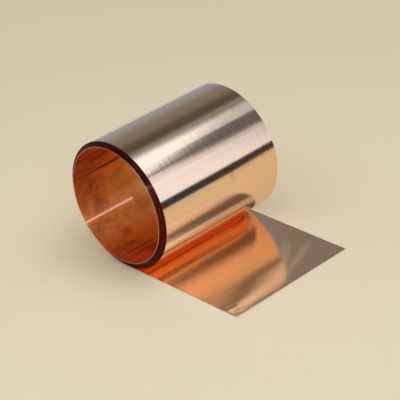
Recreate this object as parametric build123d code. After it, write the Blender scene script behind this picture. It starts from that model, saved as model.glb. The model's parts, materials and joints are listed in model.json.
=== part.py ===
"""Coil of thin copper foil, lying on its side with its free end run out flat.

The foil is one strip. It is wound into a hollow coil whose bore runs along Y,
and the outermost turn leaves the coil at its lowest line and lies on the
floor along +X, cut off square. Millimetres, +Z up, floor at z = 0.
"""

import os
from math import sqrt

from build123d import *

# Driving dimensions
foil_width = 100.0  # along the coil's axis
foil_thickness = 0.1
bore_diameter = 80.0  # inside the innermost turn
turns = 40
tail_length = 100.0  # free end, measured from the coil's lowest line

# The turns are pushed along the axis towards -Y, more and more towards the bore
cone_shift = 1.3  # outermost turn to the last turn of the sloping pack
lip_shift = 1.2  # the innermost turns stand this much further out
lip_turns = 3

# Worked out from the driving dimensions
bore_radius = bore_diameter / 2
lip_radius = bore_radius + lip_turns * foil_thickness
coil_radius = bore_radius + turns * foil_thickness
full_shift = cone_shift + lip_shift

# The origin is under the middle of the object's outer box
centre_x = (tail_length - coil_radius) / 2
centre_y = (foil_width - full_shift) / 2
axis_x = -centre_x
outer_turn_y = -centre_y  # -Y edge of the outermost turn and of the tail


def coil_section():
    """Section through the wall of the coil: radius across, axial place up."""
    near_end = [
        (bore_radius, -full_shift),
        (lip_radius, -full_shift),
        (lip_radius, -cone_shift),
        (coil_radius, 0.0),
    ]
    far_end = [(radius, place + foil_width) for radius, place in reversed(near_end)]
    return near_end + far_end


def make_coil():
    """The wound turns as one turned solid, its axis along Y."""
    with BuildPart() as coil:
        with BuildSketch(Plane.XY):
            with BuildLine():
                Polyline(*coil_section(), close=True)
            make_face()
        revolve(axis=Axis.Y)
    return coil.part.moved(Location((axis_x, outer_turn_y, coil_radius)))


def make_tail():
    """The free end of the foil, flat on the floor, starting inside the outermost turn."""
    start = Vector(axis_x, outer_turn_y, 0.0)
    return Solid.make_box(
        tail_length,
        foil_width,
        foil_thickness,
        Plane(start),
    )


def make_foil_coil():
    return make_coil() + make_tail()


foil_coil = make_foil_coil()
os.makedirs("parts", exist_ok=True)
export_step(foil_coil, "parts/copper_foil_coil.step")

tangent_run = sqrt(2 * coil_radius * foil_thickness)
print(f"coil {2 * coil_radius:.1f} mm across, bore {bore_diameter:.1f} mm")
print(f"tail leaves the round {tangent_run:.2f} mm from the lowest line")
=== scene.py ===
"""Looks for a coil of thin copper foil that lies on its side with its free end run out.

One strip is wound here turn by turn, so the turns show on the coil's ends. All lengths are
in metres, in the frame of the CAD model: the bore runs along Y and the free end along +X.
The angle wound starts at the coil's lowest line and grows towards the strip's inner end.
"""

import json
from collections import namedtuple
from math import ceil, cos, pi, radians, sin, tau

import bpy
from mathutils import Matrix, Vector, noise


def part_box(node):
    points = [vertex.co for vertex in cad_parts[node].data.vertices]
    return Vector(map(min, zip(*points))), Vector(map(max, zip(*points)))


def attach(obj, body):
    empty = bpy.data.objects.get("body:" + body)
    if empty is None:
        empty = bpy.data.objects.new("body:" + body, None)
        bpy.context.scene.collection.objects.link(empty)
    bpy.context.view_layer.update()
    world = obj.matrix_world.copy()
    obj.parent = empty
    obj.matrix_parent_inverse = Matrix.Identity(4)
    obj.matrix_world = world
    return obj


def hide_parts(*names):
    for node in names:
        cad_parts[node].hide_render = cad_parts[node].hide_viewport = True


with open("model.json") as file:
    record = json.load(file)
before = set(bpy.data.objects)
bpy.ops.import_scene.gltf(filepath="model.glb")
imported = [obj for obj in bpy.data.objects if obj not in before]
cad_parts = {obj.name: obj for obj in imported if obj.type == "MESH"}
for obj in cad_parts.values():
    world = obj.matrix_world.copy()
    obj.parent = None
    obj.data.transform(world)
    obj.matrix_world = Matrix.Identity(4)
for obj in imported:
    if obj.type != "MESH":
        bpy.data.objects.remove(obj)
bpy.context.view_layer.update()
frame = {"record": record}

# ---------------------------------------------------------------- sizes, from the frame
NODE = "copper_foil_coil"
low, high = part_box(NODE)
bore = next(m for m in frame["record"]["mounts"] if m["name"] == "bore")

axis_x, _, axis_z = bore["pos_m"]
bore_radius = bore["dims"]["r_mm"] / 1000
coil_radius = high[2] / 2
strip_width = bore["dims"]["length_mm"] / 1000
near_y = high[1] - strip_width  # -Y edge of the outermost turn and of the free end
far_y = near_y + strip_width
inner_y = low[1]  # -Y edge of the innermost turns
tail_end_x = high[0]
tail_run = tail_end_x - axis_x

# ---------------------------------------------------------------- how the strip is wound
TURNS = 40
LIP_TURNS = 3  # the innermost turns, which stand out towards -Y
LIP_SHIFT = 0.0012
CONE_SHIFT = near_y - inner_y - LIP_SHIFT  # spread evenly over all other turns
STEPS_PER_TURN = 180
INNER_END = radians(96)  # where the strip's inner end lies, past the coil's lowest line
WIND_END = (TURNS - 1) * tau + INNER_END
PITCH = (coil_radius - bore_radius) / (WIND_END / tau)
HALF_FOIL = PITCH * 0.45  # the rest of the pitch is the gap between turns
BURR = 0.00006  # the middle of a cut edge stands out by this much
UNEVEN = 0.00006  # how unevenly the turns end
SPRING = 0.0003  # how far the inner end stands off into the bore
SPRING_FROM = WIND_END - 0.35
INNER_OVAL = 0.00020  # the innermost turn is narrower than tall by this much of its radius
INNER_OFFSET = (-0.00056, 0.00054)  # where the innermost turn's middle lies, in x and z

# ---------------------------------------------------------------- how the free end lies
TAIL_STEP = 0.0015
TAIL_COLUMNS = 40
TAIL_HEIGHT = 0.00008  # middle height of the waves
TAIL_WAVE = 0.00005
TAIL_RIPPLE = 0.000018
TAIL_END_RISE = 0.00016
TAIL_CURL = 0.0010  # rise of the corner at the end's -Y side
TAIL_DENTS = (  # share of the run, share of the width, reach, height
    (0.93, 0.05, 0.035, 0.00010),
    (0.965, 0.075, 0.03, -0.00008),
    (0.90, 0.03, 0.03, -0.00006),
)

# ---------------------------------------------------------------- the camera
CAMERA_AZIMUTH = radians(48.19)
CAMERA_ELEVATION = radians(29.35)
CAMERA_ROLL = radians(-5.73)
CAMERA_DISTANCE = 1.1295
CAMERA_LENS_MM = 158.8
CAMERA_AIM = Vector((-0.00156, -0.00323, 0.03603))


def smooth(a, b, x):
    """0 below a, 1 above b, and an even curve between them."""
    t = min(max((x - a) / (b - a), 0.0), 1.0)
    return t * t * (3 - 2 * t)


def add_object(name, data):
    thing = bpy.data.objects.new(name, data)
    bpy.context.scene.collection.objects.link(thing)
    return thing


def make_camera():
    back = Vector((
        sin(CAMERA_AZIMUTH) * cos(CAMERA_ELEVATION),
        -cos(CAMERA_AZIMUTH) * cos(CAMERA_ELEVATION),
        sin(CAMERA_ELEVATION),
    ))
    level = Vector((0, 0, 1)).cross(back).normalized()
    rise = back.cross(level)
    right = level * cos(CAMERA_ROLL) + rise * sin(CAMERA_ROLL)
    up = rise * cos(CAMERA_ROLL) - level * sin(CAMERA_ROLL)
    data = bpy.data.cameras.new("camera")
    data.lens = CAMERA_LENS_MM
    data.sensor_width = 36
    data.clip_start = 0.01
    camera = add_object("camera", data)
    turn = Matrix((right, up, back)).transposed().to_4x4()
    camera.matrix_world = Matrix.Translation(CAMERA_AIM + back * CAMERA_DISTANCE) @ turn
    bpy.context.scene.camera = camera


# ---------------------------------------------------------------- the strip's course
# Columns across, x, z, outward x and z, push towards -Y, length so far, and wound,
# which is ON_TAIL all along the free end.
Station = namedtuple("Station", "columns x z out_x out_z shift along wound")
ON_TAIL = -1.0


def turn_shift(wound):
    """How far the strip is pushed towards -Y where it has wound through this angle."""
    depth = wound / WIND_END
    lip_from = 1 - LIP_TURNS / TURNS
    uneven = noise.noise(Vector((wound / tau * 1.7, 0.3, 0.7))) * UNEVEN * smooth(0, tau, wound)
    step = LIP_SHIFT * smooth(lip_from - 0.01, lip_from, depth)
    return CONE_SHIFT * min(depth / lip_from, 1.0) + step + uneven


def wound_point(wound):
    """Middle of the strip's thickness in the coil, x and z, and the outward direction."""
    depth = wound / WIND_END
    spring = SPRING * smooth(SPRING_FROM, WIND_END, wound) ** 2
    oval = INNER_OVAL * depth * cos(2 * wound)
    radius = coil_radius - PITCH / 2 - PITCH * wound / tau - spring + oval
    out_x, out_z = -sin(wound), -cos(wound)
    x = axis_x + radius * out_x + INNER_OFFSET[0] * depth
    z = axis_z + radius * out_z + INNER_OFFSET[1] * depth
    return x, z, out_x, out_z


def tail_lift(x, across):
    """Slight waves of the free end: height above flat at x, across the strip (0 to 1)."""
    run = (x - axis_x) / tail_run
    wave = noise.noise(Vector((run * 2.2, across * 1.4, 3.1)))
    ripple = noise.noise(Vector((run * 5.0, across * 2.1, 8.3)))
    waves = TAIL_HEIGHT + TAIL_WAVE * wave + TAIL_RIPPLE * ripple
    end = smooth(0.80, 1.0, run) * (0.35 + 0.65 * sin(pi * across))
    corner = smooth(0.70, 0.98, run) ** 1.2 * (1 - smooth(-0.1, 0.62, across))
    dents = 0.0
    for at, aside, reach, height in TAIL_DENTS:
        off = ((run - at) ** 2 + (across - aside) ** 2) / reach ** 2
        dents += height * smooth(0, 1, 1 - off)
    return smooth(0.15, 0.6, run) * waves + TAIL_END_RISE * end + TAIL_CURL * corner + dents


def strip_stations():
    """Stations from the outer end to the inner end of the strip."""
    stations = []
    count = ceil(tail_run / TAIL_STEP)
    for i in range(count):
        along = tail_run * i / count
        stations.append(Station(
            TAIL_COLUMNS, tail_end_x - along, HALF_FOIL, 0.0, -1.0, 0.0, along, ON_TAIL))
    steps = round(WIND_END / tau * STEPS_PER_TURN)
    for i in range(steps + 1):
        wound = WIND_END * i / steps
        along = tail_run + wound * coil_radius
        stations.append(Station(1, *wound_point(wound), turn_shift(wound), along, wound))
    return stations


# ---------------------------------------------------------------- the strip as a mesh
FACE, EDGE, BORE, LIP = 0, 1, 2, 3  # material places
STRIP_MAP = "strip"  # metres: across the strip as y, and along it from its outer end


def strip_ring(verts, station):
    """One loop of corners round the strip: outer face, far edge, inner face, near edge."""
    near = near_y - station.shift

    def put(across, y, side):
        lift = tail_lift(station.x, across) if station.wound == ON_TAIL else 0.0
        verts.append((
            station.x + side * HALF_FOIL * station.out_x,
            y,
            station.z + side * HALF_FOIL * station.out_z + lift,
        ))
        return len(verts) - 1

    shares = [i / station.columns for i in range(station.columns + 1)]
    outer, inner = (
        [put(across, near + strip_width * across, side) for across in shares] for side in (1, -1)
    )
    far_mid = put(1.0, near + strip_width + BURR, 0)
    near_mid = put(0.0, near - BURR, 0)
    return outer, far_mid, inner, near_mid


def mark_folds(mesh):
    """Keeps the folds between faces and cut edges crisp; all else is shaded smooth."""
    seen, folds = {}, set()
    for polygon in mesh.polygons:
        edge = polygon.material_index in (EDGE, LIP)
        for key in polygon.edge_keys:
            if seen.setdefault(key, edge) != edge:
                folds.add(key)
    for e in mesh.edges:
        e.use_edge_sharp = e.key in folds


def make_strip():
    """The whole strip as one closed mesh: two faces, two cut edges and two square ends."""
    stations = strip_stations()
    verts, faces, places, coords = [], [], [], []

    def put(corners, place, uv):
        faces.append(corners)
        places.append(place)
        coords.extend(uv)

    rings = [strip_ring(verts, station) for station in stations]
    for here, there, a, b in zip(rings, rings[1:], stations, stations[1:]):
        s, t = a.along, b.along
        inner_place = BORE if a.wound > WIND_END - tau * 1.02 else FACE
        sides = ((here[0], there[0], FACE), (here[2][::-1], there[2][::-1], inner_place))
        for one, two, place in sides:
            if len(one) == len(two):
                panels = [(one[k], two[k], two[k + 1], one[k + 1]) for k in range(len(one) - 1)]
            else:  # where the tail's many columns meet the coil's single one
                panels = [(*two, *one[::-1])]
            for corners in panels:
                put(corners, place, [(verts[v][1], s if v in one else t) for v in corners])
        edge_place = LIP if a.wound > WIND_END - tau * LIP_TURNS else EDGE
        far = (
            (here[0][-1], there[0][-1], 0),
            (here[1], there[1], HALF_FOIL),
            (here[2][-1], there[2][-1], 2 * HALF_FOIL),
        )
        near = (
            (here[2][0], there[2][0], 2 * HALF_FOIL),
            (here[3], there[3], HALF_FOIL),
            (here[0][0], there[0][0], 0),
        )
        for edge in (far, near):
            for (p, q, u), (p2, q2, u2) in zip(edge, edge[1:]):
                put((p, q, q2, p2), edge_place, [(u, s), (u, t), (u2, t), (u2, s)])
    for (outer, far_mid, inner, near_mid), forward in ((rings[0], True), (rings[-1], False)):
        caps = [(outer[k], outer[k + 1], inner[k + 1], inner[k]) for k in range(len(outer) - 1)]
        caps += [(outer[-1], far_mid, inner[-1]), (inner[0], near_mid, outer[0])]
        for corners in caps:
            corners = corners if forward else corners[::-1]
            put(corners, EDGE, [(verts[v][2], verts[v][1]) for v in corners])

    mesh = bpy.data.meshes.new("copper_foil_strip")
    mesh.from_pydata(verts, [], faces)
    mesh.polygons.foreach_set("material_index", places)
    mesh.polygons.foreach_set("use_smooth", [True] * len(faces))
    layer = mesh.uv_layers.new(name=STRIP_MAP)
    layer.data.foreach_set("uv", [c for uv in coords for c in uv])
    mark_folds(mesh)
    return add_object("copper_foil_strip", mesh)


# ---------------------------------------------------------------- materials
COPPER = (0.95, 0.63, 0.40)
DULL_COPPER = (0.62, 0.40, 0.27)
# painted light: the bore's copper is a deeper orange than the face, standing in for light
# bouncing between the turns; the real strip is one copper throughout
BORE_BOUNCE_COPPER = (1.0, 0.40, 0.065)
# dark colour of the bore's blotches and upper-left streaks, and the painted shade along its
# creases
BORE_DARK = (0.22, 0.050, 0.010)
# painted shade: the cut edges are near-black red, standing in for light trapped between the
# turns; the real edges are copper
CUT_SHADE_RED = (0.085, 0.002, 0.001)
RIM_COPPER = (0.90, 0.60, 0.42)
MIX_SHARE, MIX_FIRST, MIX_SECOND, MIX_RESULT = 0, 6, 7, 2  # a Mix node's colour sockets


class Nodes:
    """A material's node tree, built one node at a time."""

    def __init__(self, name):
        self.material = bpy.data.materials.new(name)
        self.material.use_nodes = True
        self.tree = self.material.node_tree
        self.shader = self.tree.nodes["Principled BSDF"]
        self.output = self.tree.nodes["Material Output"]

    def add(self, kind, **values):
        node = self.tree.nodes.new("ShaderNode" + kind)
        for name, value in values.items():
            setattr(node, name, value)
        return node

    def link(self, source, target):
        self.tree.links.new(source, target)

    def math(self, operation, a, b=None, clamp=False):
        node = self.add("Math", operation=operation, use_clamp=clamp)
        for socket, value in zip(node.inputs, (a, b)):
            if value is None:
                continue
            if hasattr(value, "is_output"):
                self.link(value, socket)
            else:
                socket.default_value = value
        return node.outputs[0]

    def product(self, first, *others):
        for other in others:
            first = self.math("MULTIPLY", first, other)
        return first

    def most(self, first, *others):
        for other in others:
            first = self.math("MAXIMUM", first, other)
        return first

    def stretched(self, value, zero_at, gain):
        """Value less zero_at, times gain, kept between 0 and 1."""
        return self.math("MULTIPLY", self.math("SUBTRACT", value, zero_at), gain, clamp=True)

    def strip_place(self):
        """The strip's map, and from it the places across and along the strip."""
        uv = self.add("UVMap", uv_map=STRIP_MAP)
        parts = self.add("SeparateXYZ")
        self.link(uv.outputs[0], parts.inputs[0])
        return uv.outputs[0], parts.outputs["X"], parts.outputs["Y"]

    def strip_tangent(self, shader):
        tangent = self.add("Tangent", direction_type="UV_MAP", uv_map=STRIP_MAP)
        self.link(tangent.outputs[0], shader.inputs["Tangent"])

    def noise(self, vector=None, **values):
        """A noise texture; values are its inputs by name."""
        node = self.add("TexNoise")
        for name, value in values.items():
            node.inputs[name].default_value = value
        if vector is not None:
            self.link(vector, node.inputs["Vector"])
        return node

    def metal(self, colour, roughness, anisotropic=0.5):
        """A metal whose shine is drawn out along the strip's width."""
        self.shader.inputs["Metallic"].default_value = 1.0
        self.shader.inputs["Base Color"].default_value = (*colour, 1)
        self.shader.inputs["Roughness"].default_value = roughness
        self.shader.inputs["Anisotropic"].default_value = anisotropic
        self.strip_tangent(self.shader)

    def two_colours(self, share, first, second):
        """Colours the metal with first where share is 0 and second where it is 1."""
        colour = self.add("Mix", data_type="RGBA")
        self.link(share, colour.inputs[MIX_SHARE])
        colour.inputs[MIX_FIRST].default_value = (*first, 1)
        colour.inputs[MIX_SECOND].default_value = (*second, 1)
        self.link(colour.outputs[MIX_RESULT], self.shader.inputs["Base Color"])

    def brushed(self, share, colour, roughness=0.28, anisotropy=-0.845):
        """Mixes in a faint shine, drawn far out across the width and thin along the length."""
        shine = self.add("BsdfAnisotropic")
        shine.inputs["Color"].default_value = (*colour, 1)
        shine.inputs["Roughness"].default_value = roughness
        shine.inputs["Anisotropy"].default_value = anisotropy
        self.strip_tangent(shine)
        mix = self.add("MixShader")
        mix.inputs[0].default_value = share
        self.link(self.shader.outputs[0], mix.inputs[1])
        self.link(shine.outputs[0], mix.inputs[2])
        self.link(mix.outputs[0], self.output.inputs["Surface"])

    def line(self, place, centre, half_width):
        """1 on a line at this place, falling to 0 at half_width to either side."""
        off = self.math("ABSOLUTE", self.math("SUBTRACT", place, centre))
        return self.math("SUBTRACT", 1.0, self.math("DIVIDE", off, half_width), clamp=True)

    def spot(self, across, along, y, place, reach_y, reach_along, lean=0.0):
        """1 at a spot on the strip, falling to 0 at its reach either way; lean tilts it."""
        off_along = self.math("SUBTRACT", along, place)
        straight = self.math("SUBTRACT", across, y)
        off_y = self.math("SUBTRACT", straight, self.math("MULTIPLY", off_along, lean))
        u = self.math("DIVIDE", off_y, reach_y)
        v = self.math("DIVIDE", off_along, reach_along)
        off = self.math("ADD", self.math("MULTIPLY", u, u), self.math("MULTIPLY", v, v))
        return self.math("SUBTRACT", 1.0, off, clamp=True)


def along_strip(turn, phi):
    """Place along the strip, in metres, of the angle phi in degrees round the coil."""
    return tail_run + coil_radius * (turn * tau + radians(270 - phi))


def rolling_lines(made, across, height):
    """Faint lines along the strip's length, left by rolling: a ripple across its width."""
    ripple = made.noise(Scale=1.0, Detail=2.0)
    ripple.noise_dimensions = "1D"
    made.link(made.math("MULTIPLY", across, 330.0), ripple.inputs["W"])
    bump = made.add("Bump")
    bump.inputs["Strength"].default_value = 1.0
    bump.inputs["Distance"].default_value = height
    made.link(ripple.outputs[0], bump.inputs["Height"])
    made.link(bump.outputs[0], made.shader.inputs["Normal"])


def face_material():
    """Bright rolled copper with faint rolling lines and a few dull marks."""
    made = Nodes("foil_face")
    made.metal(COPPER, 0.125)
    uv, across, along = made.strip_place()

    marks = (  # how far across, where along, half sizes, strength
        (near_y + 0.060, along_strip(0, 11.0), 0.0035, 0.0065, 0.60),
        (near_y + 0.071, along_strip(0, 63.5), 0.0050, 0.0035, 0.65),
        (near_y + 0.089, along_strip(0, 61.0), 0.0050, 0.0040, 0.50),
        (near_y + 0.067, tail_run * 0.51, 0.0040, 0.0022, 0.45),
        (near_y + 0.063, tail_run * 0.56, 0.0015, 0.0040, 0.35),
    )
    grain = made.noise(uv, Scale=300.0, Detail=3.0)
    rough = made.stretched(grain.outputs[0], 0.30, 2.5)
    dull = [
        made.product(made.spot(across, along, *spot), rough, strength)
        for *spot, strength in marks
    ]
    scored = made.line(across, near_y + 0.0062, 0.0004)  # a thin line along the -Y edge
    reach = made.math("POWER", made.line(along, tail_run * 0.42, tail_run * 0.36), 0.4)
    dull.append(made.product(scored, reach, 0.30))
    made.two_colours(made.most(*dull), COPPER, DULL_COPPER)

    hazes = (  # pale streaks on the free end, less metallic so that the lamps light them: as the marks, with a lean
        (far_y - 0.030, tail_run * 0.26, 0.0080, 0.0140, 1.1, 0.15),
        (far_y - 0.026, tail_run * 0.17, 0.0090, 0.0100, 2.1, 0.15),
        (far_y - 0.080, tail_run * 0.07, 0.0070, 0.0120, 1.6, 0.12),
    )
    haze = made.most(*(
        made.product(made.spot(across, along, *streak), strength)
        for *streak, strength in hazes
    ))
    made.link(made.math("SUBTRACT", 1.0, haze), made.shader.inputs["Metallic"])
    made.brushed(0.012, (1.0, 0.80, 0.85))
    rolling_lines(made, across, 0.000025)
    return made.material


def bore_material():
    """The inside of the coil: painted a deeper colour than the face for light bouncing between
    the turns, with dark blotches and painted shade along a few creases.
    """
    made = Nodes("foil_bore")
    made.metal(BORE_BOUNCE_COPPER, 0.36)
    uv, across, along = made.strip_place()

    # dark blotches in the bore's colour, towards its -Y end
    blotch_noise = made.noise(uv, Scale=62.0, Detail=5.0, Roughness=0.62, Distortion=0.3)
    spots = made.stretched(blotch_noise.outputs[0], 0.43, 4.2)
    blotches = made.product(spots, made.line(across, inner_y + 0.018, 0.034), 0.80)

    # painted shade: two dark lines along the width, where creases in the bore would hold shade
    crease_shades = []
    for phi, half_width, strength in ((265.5, 0.0016, 1.0), (273.0, 0.0018, 0.8)):
        crease_shade = made.line(along, along_strip(TURNS - 1, phi), half_width)
        reach = made.math("POWER", made.line(across, inner_y + 0.021, 0.018), 0.3)
        crease_shades.append(made.product(crease_shade, reach, strength))

    # the upper left of the bore is darker, with streaks along its width
    stretch = made.add("CombineXYZ")
    made.link(made.math("MULTIPLY", across, 25.0), stretch.inputs[0])
    made.link(made.math("MULTIPLY", along, 420.0), stretch.inputs[1])
    streaks = made.noise(stretch.outputs[0], Scale=1.0, Detail=3.0)
    streaks.noise_dimensions = "2D"
    shade = made.stretched(streaks.outputs[0], 0.42, 4.0)
    inside = made.math("GREATER_THAN", along, along_strip(TURNS - 2, 178.0))
    before = made.math("LESS_THAN", along, along_strip(TURNS - 1, 360.0))
    streaked = made.math("ADD", made.math("MULTIPLY", shade, 0.60), 0.30)
    upper = made.product(before, inside, streaked)

    made.two_colours(made.most(blotches, *crease_shades, upper), BORE_BOUNCE_COPPER, BORE_DARK)
    made.brushed(0.06, (0.95, 0.62, 0.50))
    return made.material


def edge_material():
    """The cut edges of the turns: painted deep red as shade for light trapped between the turns,
    with a thin pink shine.
    """
    made = Nodes("foil_cut_edges")
    made.metal(CUT_SHADE_RED, 0.22, anisotropic=0.0)
    made.brushed(0.028, (1.0, 0.38, 0.42), roughness=0.2115, anisotropy=-0.776)
    return made.material


def lip_material():
    """The pale rim that the innermost turns make."""
    made = Nodes("foil_inner_rim")
    made.metal(RIM_COPPER, 0.40)
    return made.material


def glow_material(name, colour):
    """A plain glow, and the node that gives it."""
    made = Nodes(name)
    glow = made.add("Emission")
    glow.inputs["Color"].default_value = (*colour, 1)
    made.link(glow.outputs[0], made.output.inputs["Surface"])
    return made, glow


def floor_material():
    """Plain pale paper, painted a little darker away from the coil: a painted fall-off of the
    light.
    """
    made = Nodes("floor_paper")
    geometry = made.add("NewGeometry")
    away = made.add("VectorMath", operation="DISTANCE")
    away.inputs[1].default_value = (0.12, -0.12, 0.0)
    made.link(geometry.outputs["Position"], away.inputs[0])
    # painted light: the paper's colour dims away from a point beside the coil, as the light falls
    # off
    ramp = made.add("ValToRGB")
    made.link(away.outputs["Value"], ramp.inputs[0])
    fill_ramp(ramp, ((0.12, (0.84, 0.735, 0.545)), (0.62, (0.69, 0.60, 0.415))))
    made.link(ramp.outputs[0], made.shader.inputs["Base Color"])
    made.shader.inputs["Roughness"].default_value = 0.9
    made.shader.inputs["Specular IOR Level"].default_value = 0.1
    return made.material


def fill_ramp(ramp, stops):
    """Gives a colour ramp these (position, colour) stops and no others."""
    elements = ramp.color_ramp.elements
    elements.remove(elements[1])
    for i, (position, colour) in enumerate(stops):
        element = elements[0] if i == 0 else elements.new(position)
        element.position = position
        element.color = (*colour, 1)


# ---------------------------------------------------------------- floor and room
FLOOR_HALF = 8.0
FLOOR_DROP = 0.00002  # keeps the floor just clear of the foil on it
BACKDROP_RADIUS = 7.0
BACKDROP_HEIGHT = 7.0
BACKDROP_SIDES = 64
ROOM = (  # degrees from the right horizon over the top to the left one, colour
    (0, (0.50, 0.55, 0.60)),
    (20, (0.70, 0.80, 0.90)),
    (40, (0.50, 0.56, 0.62)),
    (50, (0.12, 0.125, 0.15)),
    (80, (0.12, 0.125, 0.15)),
    (92, (0.42, 0.46, 0.50)),
    (99, (0.30, 0.32, 0.35)),
    (107, (0.10, 0.10, 0.105)),
    (115, (0.10, 0.095, 0.09)),
    (124, (0.155, 0.15, 0.145)),
    (131, (0.215, 0.215, 0.21)),
    (147, (0.235, 0.255, 0.28)),
    (155, (0.28, 0.315, 0.36)),
    (163, (0.298, 0.36, 0.45)),
    (180, (0.315, 0.40, 0.54)),
)


def level(z, x0, x1, y0, y1):
    """Corners of a level card that faces down."""
    return [(x0, y0, z), (x0, y1, z), (x1, y1, z), (x1, y0, z)]


def upright(x, y0, y1, z0, z1, rise0=0.0, rise1=0.0):
    """Corners of an upright card facing along X; rise lifts its y1 side."""
    return [(x, y0, z0), (x, y1, z0 + rise0), (x, y1, z1 + rise1), (x, y0, z1)]


def make_floor():
    mesh = bpy.data.meshes.new("floor")
    corners = level(0.0, -FLOOR_HALF, FLOOR_HALF, -FLOOR_HALF, FLOOR_HALF)[::-1]
    mesh.from_pydata(corners, [], [(0, 1, 2, 3)])
    mesh.materials.append(floor_material())
    floor = add_object("floor", mesh)
    floor.location.z = -FLOOR_DROP


def make_backdrop():
    """A plain far wall all round, seen by the camera only."""
    count = BACKDROP_SIDES
    corners = [
        (BACKDROP_RADIUS * cos(tau * i / count), BACKDROP_RADIUS * sin(tau * i / count), z)
        for z in (0, BACKDROP_HEIGHT) for i in range(count)
    ]
    walls = [(i, (i + 1) % count, (i + 1) % count + count, i + count) for i in range(count)]
    lid = tuple(range(count, 2 * count))
    mesh = bpy.data.meshes.new("backdrop")
    mesh.from_pydata(corners, [], walls + [lid])
    made, _ = glow_material("backdrop", (0.62, 0.55, 0.38))
    mesh.materials.append(made.material)
    wall = add_object("backdrop", mesh)
    wall.visible_diffuse = False
    wall.visible_glossy = False
    wall.visible_transmission = False
    wall.visible_shadow = False


def make_room():
    """The room as a band of light and dark from the right horizon over the top to the left."""
    world = bpy.data.worlds.new("room")
    bpy.context.scene.world = world
    world.use_nodes = True
    nodes, links = world.node_tree.nodes, world.node_tree.links
    background = nodes["Background"]
    where = nodes.new("ShaderNodeTexCoord")
    parts = nodes.new("ShaderNodeSeparateXYZ")
    around = nodes.new("ShaderNodeMath")
    around.operation = "ARCTAN2"
    share = nodes.new("ShaderNodeMath")
    share.operation = "DIVIDE"
    share.inputs[1].default_value = pi
    ramp = nodes.new("ShaderNodeValToRGB")
    links.new(where.outputs["Generated"], parts.inputs[0])
    links.new(parts.outputs["Z"], around.inputs[0])
    links.new(parts.outputs["X"], around.inputs[1])
    links.new(around.outputs[0], share.inputs[0])
    links.new(share.outputs[0], ramp.inputs[0])
    links.new(ramp.outputs[0], background.inputs["Color"])
    background.inputs["Strength"].default_value = 1.0
    fill_ramp(ramp, [(angle / 180, colour) for angle, colour in ROOM])


# ---------------------------------------------------------------- cards and lamps
BRIGHT = (1.16, 1.46, 1.85)
WHITE = (0.98, 1.17, 1.52)
DARK = (0.030, 0.029, 0.031)
GLINT = (0.50, 0.95, 1.75)
LEFT_WALL = (0.32, 0.41, 0.56)
LAMP_Z = 0.57
WHITE_X = 0.45
RAIL_X = 0.40
GLINT_X = RAIL_X - 0.002
LEFT_WALL_X = -0.50


def make_card(name, corners, colour, **fades):
    """A flat glowing card with these corners, which only the foil reflects.

    Each fade is the glow along a world axis, as (place in metres, factor) stops."""
    mesh = bpy.data.meshes.new(name)
    mesh.from_pydata(corners, [], [tuple(range(len(corners)))])
    made, glow = glow_material(name, colour)
    for axis, stops in fades.items():
        fade_along(made, glow, axis, stops)
    mesh.materials.append(made.material)
    card = add_object(name, mesh)
    card.visible_camera = False
    card.visible_diffuse = False
    card.visible_shadow = False


def fade_along(made, glow, axis, stops):
    """Lets a glow change along a world axis, on top of the fades it already has."""
    geometry = made.add("NewGeometry")
    parts = made.add("SeparateXYZ")
    made.link(geometry.outputs["Position"], parts.inputs[0])
    start, end = stops[0][0], stops[-1][0]
    off = made.math("SUBTRACT", parts.outputs[axis], start)
    ramp = made.add("ValToRGB")
    made.link(made.math("DIVIDE", off, end - start), ramp.inputs[0])
    fill_ramp(ramp, [((where - start) / (end - start), (factor,) * 3) for where, factor in stops])
    strength = glow.inputs["Strength"]
    factor = ramp.outputs[0]
    if strength.is_linked:
        factor = made.math("MULTIPLY", strength.links[0].from_socket, factor)
    made.link(factor, strength)


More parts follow.
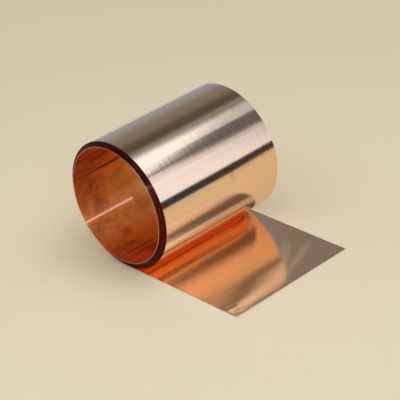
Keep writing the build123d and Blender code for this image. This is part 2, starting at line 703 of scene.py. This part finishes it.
def make_cards():
    """Soft lamps and cards round the coil; the foil shows them as bands along its length."""
    # overhead soft lamp: its left parts go on past its right part, more weakly
    make_card("lamp_left", level(LAMP_Z, 0.02, 0.177, -0.60, 1.0), BRIGHT, Y=(
        (-0.60, 1.0), (0.340, 1.0), (0.367, 0.92), (0.387, 0.56), (0.405, 0.46),
        (0.44, 0.43), (1.0, 0.40)))
    make_card("lamp_right", level(LAMP_Z, 0.177, 0.36, -0.60, 0.44), BRIGHT, Y=(
        (-0.60, 1.0), (0.340, 1.0), (0.352, 0.78), (0.364, 0.42), (0.378, 0.16),
        (0.41, 0.08), (0.44, 0.06)))
    make_card("lamp_rim", level(LAMP_Z, -0.075, 0.02, -0.60, 1.0), BRIGHT, X=(
        (-0.075, 0.25), (-0.045, 0.40), (-0.02, 0.62), (0.02, 0.97)), Y=(
        (-0.60, 1.0), (0.31, 1.0), (0.35, 0.75), (0.38, 0.58), (0.44, 0.45), (1.0, 0.4)))
    # white card at the right, taller in its near part
    white_fade = (
        (0.26, 1.0), (0.35, 0.95), (0.40, 0.87), (0.43, 0.78), (0.475, 0.55), (1.0, 0.3))
    make_card("white_tall", upright(WHITE_X, -0.6, 0.480, 0.05, 0.66), WHITE, Y=white_fade)
    make_card("white_low", upright(WHITE_X, 0.480, 1.4, 0.05, 0.511), WHITE, Y=white_fade)
    # dark rail in front of the white card's foot
    make_card("dark_rail", upright(RAIL_X, -0.6, 0.225, 0.0, 0.104), DARK)
    make_card("dark_rail_far", upright(RAIL_X, 0.225, 0.315, 0.0, 0.104, 0.006, 0.001), DARK)
    make_card("dark_rail_mid", upright(RAIL_X, 0.315, 0.370, 0.006, 0.105, 0.024, 0.007), DARK)
    make_card("dark_rail_end", upright(RAIL_X, 0.370, 1.4, 0.030, 0.112), DARK)
    # a bluish glint along the foot of the rail, near part only
    make_card("rail_foot", upright(GLINT_X, -0.6, 0.300, 0.0, 0.007), GLINT, Y=(
        (-0.6, 1.0), (0.270, 1.0), (0.300, 0.2)))
    # far end of the floor at the left
    make_card("left_wall", upright(LEFT_WALL_X, -1.5, 2.5, 0.0, 0.096), LEFT_WALL)


def make_sun(name, direction, energy, angle, colour):
    data = bpy.data.lights.new(name, "SUN")
    data.angle = radians(angle)
    data.energy = energy
    data.color = colour
    lamp = add_object(name, data)
    lamp.rotation_euler = Vector(direction).to_track_quat("Z", "Y").to_euler()
    lamp.visible_glossy = False


def make_spark():
    """A small strong lamp beside the camera's place: it draws thin lines on the foil."""
    direction = Vector((0.7095, -0.48, 0.5155))
    data = bpy.data.lights.new("spark", "AREA")
    data.shape = "DISK"
    data.size = 0.025
    data.energy = 10.0
    data.color = (0.80, 0.85, 1.0)
    lamp = add_object("spark", data)
    lamp.location = Vector((axis_x, 0, axis_z)) + direction * 1.25
    lamp.rotation_euler = direction.to_track_quat("Z", "Y").to_euler()
    lamp.visible_camera = False
    lamp.visible_diffuse = False


# ---------------------------------------------------------------- putting it together
scene = bpy.context.scene
scene.view_settings.view_transform = "Standard"
scene.cycles.glossy_bounces = 12
scene.cycles.blur_glossy = 0.0
make_camera()
make_room()
make_floor()
make_backdrop()
make_cards()
make_sun("key", (0.40, 0.22, 0.90), 0.72, 40, (1.0, 0.97, 0.92))
make_sun("fill", (-0.22, -0.45, 0.88), 1.62, 130, (1.0, 0.98, 0.96))
make_spark()

strip = make_strip()
for material in (face_material(), edge_material(), bore_material(), lip_material()):
    strip.data.materials.append(material)
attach(strip, "root")
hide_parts(NODE)
